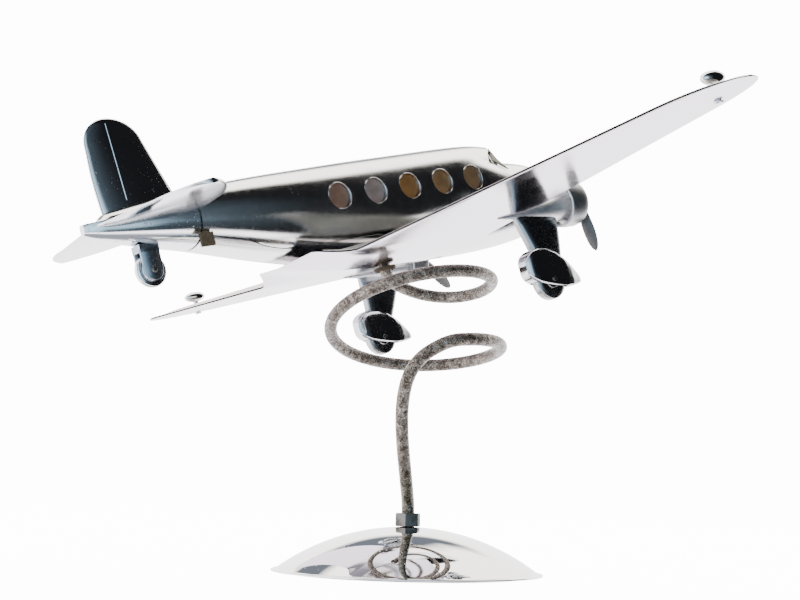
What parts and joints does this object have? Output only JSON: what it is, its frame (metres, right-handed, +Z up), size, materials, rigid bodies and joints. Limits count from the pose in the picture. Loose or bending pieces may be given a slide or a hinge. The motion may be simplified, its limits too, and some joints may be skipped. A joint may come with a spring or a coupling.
{
  "type": "desktop airliner model",
  "caption": "Chromed art deco desktop model of a propeller airliner, held nose-up by a coiled rod over a round domed base.",
  "frame": {"origin": "middle of the base's underside, on the floor", "axes": "+Z up from the floor; the nose points towards -Y, the port wing towards +X"},
  "size_m": [0.3563, 0.2272, 0.1731],
  "materials": {
    "chrome": "polished",
    "pitted_chrome": "satin",
    "plated_rod": "pitted",
    "dark_steel": "satin",
    "cast_iron": "matt",
    "felt": "matt",
    "copper": "satin",
    "brown_steel": "corroded"
  },
  "bodies": {
    "airliner_on_stand": {"anchor_nut": "dark_steel", "base_dome": "chrome", "base_pad": "felt", "base_weight": "cast_iron", "belly_collar": "brown_steel", "cowl_ring_left": "pitted_chrome", "cowl_ring_right": "pitted_chrome", "engine_disc_left": "cast_iron", "engine_disc_right": "cast_iron", "engine_leg_left": "pitted_chrome", "engine_leg_right": "pitted_chrome", "fin": "chrome", "fuselage_shell": "chrome", "lamp_pin_left": "pitted_chrome", "lamp_pin_right": "pitted_chrome", "lower_nut": "dark_steel", "lower_washer": "dark_steel", "propeller_pin_left": "pitted_chrome", "propeller_pin_right": "pitted_chrome", "side_pane_left": "copper", "side_pane_right": "copper", "stand_nut": "dark_steel", "stand_rod": "plated_rod", "tail_axle": "dark_steel", "tail_clip": "brown_steel", "tail_fork": "pitted_chrome", "tailplane": "pitted_chrome", "tip_lamp_left": "chrome", "tip_lamp_right": "chrome", "wheel_axle_left": "dark_steel", "wheel_axle_right": "dark_steel", "window_left_1": "copper", "window_left_2": "copper", "window_left_3": "copper", "window_left_4": "copper", "window_left_5": "copper", "window_right_1": "copper", "window_right_2": "copper", "window_right_3": "copper", "window_right_4": "copper", "window_right_5": "copper", "windscreen_left": "copper", "windscreen_right": "copper", "wing_lower": "chrome", "wing_upper_left": "chrome", "wing_upper_right": "chrome"},
    "propeller_left_body": {"propeller_left": "pitted_chrome"},
    "propeller_right_body": {"propeller_right": "pitted_chrome"},
    "main_wheel_left_body": {"main_wheel_left": "pitted_chrome"},
    "main_wheel_right_body": {"main_wheel_right": "pitted_chrome"},
    "tail_wheel_body": {"tail_wheel": "chrome"}
  },
  "joints": [
    {"name": "propeller_left_spin", "type": "hinge", "parent": "airliner_on_stand", "child": "propeller_left_body", "pos_m": [0.07168, -0.06493, 0.13099], "axis": [0, -0.9713, 0.2379], "continuous": true},
    {"name": "propeller_right_spin", "type": "hinge", "parent": "airliner_on_stand", "child": "propeller_right_body", "pos_m": [-0.02548, -0.06188, 0.14344], "axis": [0, -0.9713, 0.2379], "continuous": true},
    {"name": "main_wheel_left_spin", "type": "hinge", "parent": "airliner_on_stand", "child": "main_wheel_left_body", "pos_m": [0.07318, -0.0433, 0.09486], "axis": [0.9914, -0.0311, -0.1269], "continuous": true},
    {"name": "main_wheel_right_spin", "type": "hinge", "parent": "airliner_on_stand", "child": "main_wheel_right_body", "pos_m": [-0.03115, -0.03972, 0.10949], "axis": [0.9914, -0.0311, -0.1269], "continuous": true},
    {"name": "tail_wheel_spin", "type": "hinge", "parent": "airliner_on_stand", "child": "tail_wheel_body", "pos_m": [0.02378, 0.09779, 0.10305], "axis": [0.9914, -0.0311, -0.1269], "continuous": true}
  ]
}
